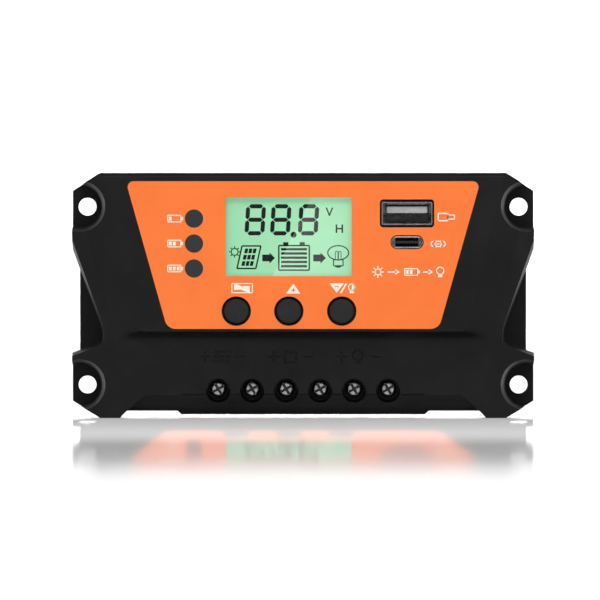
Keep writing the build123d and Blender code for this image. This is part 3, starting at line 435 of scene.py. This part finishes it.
def print_shapes(name, shapes, y_back, thickness, material):
    """Thin raised print: each shape is a closed prism that faces the front."""
    vertices, faces = [], []
    for shape in shapes:
        area = sum(a[0] * b[1] - b[0] * a[1] for a, b in zip(shape, shape[1:] + shape[:1]))
        if area < 0:
            shape = shape[::-1]
        first, count = len(vertices), len(shape)
        vertices += [(x * MM, y_back - thickness * MM, z * MM) for x, z in shape]
        vertices += [(x * MM, y_back, z * MM) for x, z in shape]
        faces.append(list(range(first, first + count)))
        faces.append(list(range(first + 2 * count - 1, first + count - 1, -1)))
        for i in range(count):
            j = (i + 1) % count
            faces.append([first + i, first + count + i, first + count + j, first + j])
    mesh = bpy.data.meshes.new(name)
    mesh.from_pydata(vertices, [], faces)
    mesh.validate()
    mesh.materials.append(material)
    piece = bpy.data.objects.new(name, mesh)
    bpy.context.scene.collection.objects.link(piece)
    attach(piece, "casing")
    return piece


# ---------------------------------------------------------------- display content

DIGIT_W, DIGIT_H, DIGIT_STROKE = 5.75, 9.0, 1.2
DIGIT_LEAN = 0.06
DIGIT_GAP = 0.12
DIGIT_Z = 57.27
DIGIT_XS = (-13.82, -6.46, 1.57)


def digit_shapes(x, z):
    """Seven segments of one leaning digit."""
    half_w, half_h, t = DIGIT_W / 2, DIGIT_H / 2, DIGIT_STROKE
    cut = t / 2

    def lean(points):
        return [(x + px + pz * DIGIT_LEAN, z + pz) for px, pz in points]

    def upright(side, low, high):
        outer, inner = side * half_w, side * (half_w - t)
        middle = side * (half_w - cut)
        return [
            (middle, low),
            (inner, low + cut),
            (inner, high - cut),
            (middle, high),
            (outer, high - cut * 0.9),
            (outer, low + cut * 0.9),
        ]

    def level(middle):
        reach = half_w - cut - DIGIT_GAP
        return [
            (-reach, middle),
            (-reach + cut, middle - cut),
            (reach - cut, middle - cut),
            (reach, middle),
            (reach - cut, middle + cut),
            (-reach + cut, middle + cut),
        ]

    def cap(side):
        outer, inner = side * half_h, side * (half_h - t)
        reach = half_w - cut - DIGIT_GAP
        return [
            (-reach + cut * 0.2, outer - side * cut),
            (-reach + cut * 1.1, outer),
            (reach - cut * 1.1, outer),
            (reach - cut * 0.2, outer - side * cut),
            (reach - cut * 1.1, inner),
            (-reach + cut * 1.1, inner),
        ]

    low, high = -half_h + cut + DIGIT_GAP, half_h - cut - DIGIT_GAP
    shapes = [cap(1), level(0.0), cap(-1)]
    for side in (-1, 1):
        shapes.append(upright(side, DIGIT_GAP, high))
        shapes.append(upright(side, low, -DIGIT_GAP))
    return [lean(shape) for shape in shapes]


def unit_shapes():
    """Volt and hour signs beside the digits."""
    v = [
        bar_points((6.7, 60.8), (7.64, 58.45), 0.4),
        bar_points((8.5, 60.8), (7.56, 58.45), 0.4),
    ]
    h = [
        bar_points((9.62, 53.5), (9.62, 55.9), 0.46),
        bar_points((11.31, 53.5), (11.31, 55.9), 0.46),
        bar_points((9.6, 54.72), (11.33, 54.72), 0.42),
    ]
    return v + h


def sun_shapes(x, z, radius, reach, stroke):
    """Ring with eight rays."""
    shapes = annulus(x, z, radius, radius, stroke, 28)
    for i in range(8):
        a = math.radians(45 * i)
        start = (x + (radius + 0.18) * math.cos(a), z + (radius + 0.18) * math.sin(a))
        end = (x + reach * math.cos(a), z + reach * math.sin(a))
        shapes.append(bar_points(start, end, stroke))
    return shapes


def solar_panel_shapes():
    """Leaning panel outline with three by three cells."""
    lean, middle_x, middle_z = 0.223, -15.65, 46.46
    half_w, half_h = 2.72, 3.25

    def slanted(px, pz):
        return (middle_x + px + pz * lean, middle_z + pz)

    corners = [(-half_w, -half_h), (half_w, -half_h), (half_w, half_h), (-half_w, half_h)]
    shapes = frame_bars([slanted(*c) for c in corners], 0.42)
    for row in (-1, 0, 1):
        for column in (-1, 0, 1):
            cx, cz, w, h = column * 1.2 + 0.02, row * 1.82, 0.47, 0.68
            cell = [(cx - w, cz - h), (cx + w, cz - h), (cx + w, cz + h), (cx - w, cz + h)]
            shapes.append([slanted(*c) for c in cell])
    return shapes


def arrow_shape(x, z):
    """Solid arrow that points right and starts at x."""
    return [
        (x, z + 0.97),
        (x + 2.1, z + 0.97),
        (x + 2.1, z + 1.55),
        (x + 3.66, z),
        (x + 2.1, z - 1.6),
        (x + 2.1, z - 0.97),
        (x, z - 0.97),
    ]


def battery_shapes():
    """Battery outline with two posts and five charge bars."""
    left, right, low, high = -7.02, 1.78, 42.72, 49.83
    shapes = frame_bars([(left, low), (right, low), (right, high), (left, high)], 0.42)
    shapes += [rectangle(x, 50.35, 1.48, 0.85) for x in (-5.0, -0.28)]
    shapes += [rectangle(-2.63, 48.76 - i * 1.225, 7.5, 0.68) for i in range(5)]
    return shapes


def lamp_shapes():
    """Bulb outline with its cap and two filament arches."""
    x, z = 10.13, 47.73
    shapes = annulus(x, z, 3.0, 2.06, 0.32, 56)
    shapes += frame_bars([(8.78, 43.98), (11.54, 43.98), (11.54, 45.72), (8.78, 45.72)], 0.3)
    shapes.append(ring_points(x, 43.86, 0.95, 0.42, 14, 180, 180))
    for side in (-0.44, 0.44):
        arch = [(x + side - 0.38, 45.9)]
        arch += ring_points(x + side, 47.75, 0.38, 0.42, 10, 180, -180)
        arch.append((x + side + 0.38, 45.9))
        shapes += thick_curve(arch, 0.2)
    return shapes


def display_content(lcd_ink):
    """Digits and symbols printed on the display glass."""
    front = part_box("lcd_glass")[0].y
    digits = [shape for x in DIGIT_XS for shape in digit_shapes(x, DIGIT_Z)]
    digits.append(ring_points(-2.76, 52.96, 0.85, count=28))
    print_shapes("lcd_digits", digits, front, LCD_INK_T, lcd_ink)
    symbols = unit_shapes() + sun_shapes(-19.78, 48.0, 0.98, 1.65, 0.3)
    symbols += solar_panel_shapes() + [arrow_shape(-11.8, 46.24), arrow_shape(2.92, 46.24)]
    symbols += battery_shapes() + lamp_shapes()
    print_shapes("lcd_symbols", symbols, front, LCD_INK_T, lcd_ink)


# ---------------------------------------------------------------- label print


def charge_icon(x, z, cells):
    """Small battery lying down with one to three filled cells."""
    shapes = frame_bars(rectangle(x, z, 3.8, 1.9), 0.3)
    shapes.append(rectangle(x + 2.3, z, 0.45, 0.9))
    shapes += [rectangle(x - 1.13 + i * 1.13, z, 0.78, 1.1) for i in range(cells)]
    return shapes


def cover_icon():
    """Framed sign above the first button."""
    left, right, low, high = -20.6, -14.65, 36.2, 38.85
    shapes = frame_bars([(left, low), (right, low), (right, high), (left, high)], 0.28)
    top = [(-19.94, 38.67), (-18.97, 38.67), (-17.45, 37.91), (-17.3, 38.15), (-15.36, 38.15)]
    bottom = [(-15.36, 36.27), (-16.26, 36.43), (-18.1, 37.1), (-19.94, 36.99)]
    return shapes + [top + bottom]


def arrow_icons():
    """Up and down triangles, the dividing stroke and the small lamp."""
    shapes = [[(-4.95, 35.95), (-0.78, 35.95), (-2.81, 38.78)]]
    shapes.append([(7.62, 38.92), (11.78, 38.92), (9.66, 36.18)])
    shapes.append(bar_points((10.85, 36.1), (12.45, 38.85), 0.45))
    shapes += annulus(14.06, 37.8, 0.97, 0.97, 0.28, 30)
    shapes.append(ring_points(14.06, 37.8, 1.0, 1.0, 16, -90, 180))
    shapes.append(rectangle(14.06, 36.35, 1.25, 0.55))
    return shapes


def button_signs():
    """Plus and minus shown in the label's own colour inside the triangles."""
    return [
        rectangle(-2.81, 36.95, 1.15, 0.28),
        rectangle(-2.81, 36.95, 0.28, 1.15),
        rectangle(9.68, 38.05, 1.3, 0.28),
    ]


def socket_icons():
    """Outlines of the plug that fits each socket."""
    large = frame_bars([(39.0, 57.0), (41.8, 57.0), (41.8, 59.1), (39.0, 59.1)], 0.36)
    large += frame_bars([(41.8, 57.45), (43.7, 57.45), (43.7, 58.65), (41.8, 58.65)], 0.3)
    small = annulus(37.7, 50.3, 0.75, 0.75, 0.32, 24)
    small += annulus(40.3, 50.3, 0.75, 0.75, 0.32, 24)
    small += [bar_points((37.7, 51.05), (40.3, 51.05), 0.32), bar_points((37.7, 49.55), (40.3, 49.55), 0.32)]
    small.append(bar_points((37.9, 50.3), (40.1, 50.3), 0.3))
    return large + small


def energy_icons():
    """Sun, arrow, battery and lamp row in place of wording."""
    shapes = sun_shapes(21.6, 42.2, 0.85, 1.7, 0.3)
    shapes += [bar_points((24.4, 42.2), (27.0, 42.2), 0.4), [(26.6, 43.0), (27.9, 42.2), (26.6, 41.4)]]
    shapes += charge_icon(31.2, 42.2, 2)
    shapes += [bar_points((34.6, 42.2), (36.6, 42.2), 0.4), [(36.2, 43.0), (37.5, 42.2), (36.2, 41.4)]]
    shapes += annulus(39.6, 42.55, 1.05, 1.05, 0.3, 28)
    shapes.append(rectangle(39.6, 41.0, 1.2, 0.6))
    return shapes


def label_content(cream, orange):
    """Printed marks on the face label."""
    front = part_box("face_label")[0].y
    marks = cover_icon() + arrow_icons() + socket_icons() + energy_icons()
    for cells, z in ((1, 57.6), (2, 50.4), (3, 43.2)):
        marks += charge_icon(-37.2, z, cells)
    print_shapes("label_marks", marks, front, INK_T, cream)
    print_shapes("label_signs", button_signs(), front - INK_T * MM, INK_T, orange)


# ---------------------------------------------------------------- studio


def studio_floor():
    """Pale floor that runs up into a pale wall, with a faint soft reflection."""
    half, back, front, bend = 9.0, WALL_Y, -VIEW_DISTANCE - 2.0, 0.8
    profile = [(front, 0.0), (back - bend, 0.0)]
    for i in range(1, 13):
        a = math.radians(90 * i / 12)
        profile.append((back - bend + bend * math.sin(a), bend - bend * math.cos(a)))
    profile.append((back, 5.0))
    vertices = [(x, y, z) for y, z in profile for x in (-half, half)]
    faces = [(2 * i, 2 * i + 1, 2 * i + 3, 2 * i + 2) for i in range(len(profile) - 1)]
    mesh = bpy.data.meshes.new("floor")
    mesh.from_pydata(vertices, [], faces)
    for polygon in mesh.polygons:
        polygon.use_smooth = True
    n = Nodes("studio_white")
    n.set(Base_Color=(0.9, 0.9, 0.9, 1), Roughness=0.9, Specular_IOR_Level=0.0)
    gloss = n.add("ShaderNodeBsdfGlossy")
    gloss.inputs["Roughness"].default_value = 0.05
    gloss.inputs["Color"].default_value = (1, 1, 1, 1)
    mix = n.add("ShaderNodeMixShader")
    mix.inputs[0].default_value = FLOOR_GLOSS
    n.link(n.shader.outputs[0], mix.inputs[1])
    n.link(gloss.outputs[0], mix.inputs[2])
    n.link(mix.outputs[0], n.output.inputs["Surface"])
    mesh.materials.append(n.material)
    floor = bpy.data.objects.new("floor", mesh)
    floor.location.z = cad_low.z
    bpy.context.scene.collection.objects.link(floor)


def add_light(data, place, target):
    light = bpy.data.objects.new(data.name, data)
    light.location = place
    light.rotation_euler = (Vector(target) - Vector(place)).to_track_quat("-Z", "Y").to_euler()
    bpy.context.scene.collection.objects.link(light)
    return light


def area_light(name, place, target, size, power, size_y=None):
    data = bpy.data.lights.new(name, "AREA")
    data.energy = power
    data.shape = "RECTANGLE"
    data.size = size
    data.size_y = size_y or size
    return add_light(data, place, target)


def soft_sun(name, direction, strength, spread):
    """Distant light; direction points the way its light travels."""
    data = bpy.data.lights.new(name, "SUN")
    data.energy = strength
    data.angle = math.radians(spread)
    return add_light(data, (0, 0, 2), Vector((0, 0, 2)) + Vector(direction))


def wall_spot(name, place, target, spread, power):
    """Lights only the part of the wall behind the object, so its edges don't mirror a bright wall."""
    data = bpy.data.lights.new(name, "SPOT")
    data.energy = power
    data.spot_size = math.radians(spread)
    data.spot_blend = 0.4
    data.shadow_soft_size = 0.05
    light = add_light(data, place, target)
    light.visible_glossy = False


def studio_lights():
    world = bpy.data.worlds.new("studio")
    world.use_nodes = True
    world.node_tree.nodes["Background"].inputs["Color"].default_value = (1, 1, 1, 1)
    world.node_tree.nodes["Background"].inputs["Strength"].default_value = WORLD_STRENGTH
    bpy.context.scene.world = world
    floor_sun = soft_sun("floor_sun", (0, 0.15, -1), 1.9, 40)
    floor_sun.visible_glossy = False
    area_light("left", (-0.75, -0.7, 0.3), (0, 0, 0.035), 0.35, 1.1, 0.9)
    area_light("right", (0.75, -0.7, 0.3), (0, 0, 0.035), 0.35, 1.1, 0.9)
    area_light("front", (0, -1.0, 0.6), (0, 0, 0.035), 0.9, 4.5, 0.3)
    wall_spot("backdrop", (0, WALL_Y - 2.0, 1.3), (0, WALL_Y, 0.1), 22, 420.0)


def camera_y():
    return cad_low.y - VIEW_DISTANCE


def camera():
    data = bpy.data.cameras.new("camera")
    data.sensor_width = 36.0
    data.lens = 36.0 * VIEW_DISTANCE / VIEW_WIDTH
    data.clip_end = 50.0
    eye = bpy.data.objects.new("camera", data)
    eye.location = (VIEW_X, camera_y(), VIEW_Z)
    eye.rotation_euler = (math.radians(90), 0, 0)
    bpy.context.scene.collection.objects.link(eye)
    bpy.context.scene.camera = eye


def glare_card():
    """Card behind the camera whose slanting edge shows in the display's pane."""
    low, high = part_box("display_window")
    depth = low.y - camera_y()
    reach = 1.1
    edge = [(-8.8, 41.0), (15.0, 41.0), (15.0, 64.0), (2.6, 64.0)]
    vertices = []
    for x, z in edge:
        x, z = x * MM, z * MM
        vertices.append((x + reach * (x - VIEW_X), low.y - reach * depth, z + reach * (z - VIEW_Z)))
    mesh = bpy.data.meshes.new("glare_card")
    mesh.from_pydata(vertices, [], [[0, 1, 2, 3]])
    n = Nodes("glare_card")
    split = n.add("ShaderNodeSeparateXYZ")
    n.link(n.place(), split.inputs[0])
    glow = n.add("ShaderNodeEmission")
    n.link(n.span(split.outputs["X"], 3.4, 0.9, -0.012, 0.03), glow.inputs["Strength"])
    n.link(glow.outputs[0], n.output.inputs["Surface"])
    n.tree.nodes.remove(n.shader)
    mesh.materials.append(n.material)
    card = bpy.data.objects.new("glare_card", mesh)
    card.visible_camera = False
    card.visible_diffuse = False
    bpy.context.scene.collection.objects.link(card)


# ---------------------------------------------------------------- scene

camera()
materials = record_materials()
dress_cad_nodes(materials)
display_content(ink("lcd_ink", (0.004, 0.007, 0.005, 1), 0.1))
label_content(ink("cream_ink", CREAM), materials["label_print"])
studio_floor()
studio_lights()
glare_card()
bpy.context.scene.view_settings.view_transform = "Standard"
